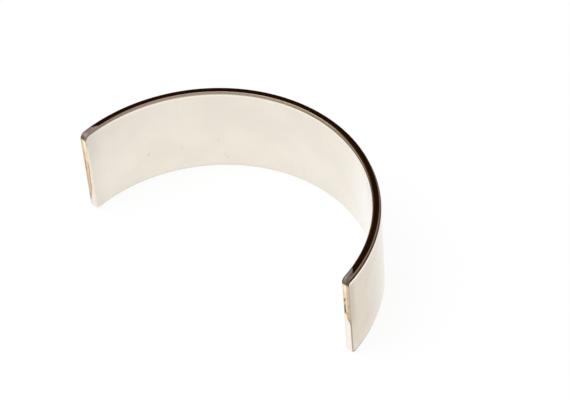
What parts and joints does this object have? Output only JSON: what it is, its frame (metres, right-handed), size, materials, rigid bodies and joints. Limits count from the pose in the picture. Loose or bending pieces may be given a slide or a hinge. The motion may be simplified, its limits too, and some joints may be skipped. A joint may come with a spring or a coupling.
{
  "type": "engine bearing shell",
  "caption": "Plain half-round bearing shell of thin tin-plated steel with chamfered edges, pressed into a connecting-rod housing to carry an engine's crank journal.",
  "frame": {"origin": "on the shaft's axis, at the middle of the shell's width", "axes": "+Z along the shaft, away from the side face that the shell stands on; +Y from the axis to the crown; +X from one joint face to the other"},
  "size_m": [0.0594, 0.0286, 0.0186],
  "materials": {
    "tin_plate": "satin tin plate on the bore and the back, dark side faces, brass-coloured joint faces"
  },
  "bodies": {
    "root": {"bearing_shell": "tin_plate"}
  },
  "joints": []
}
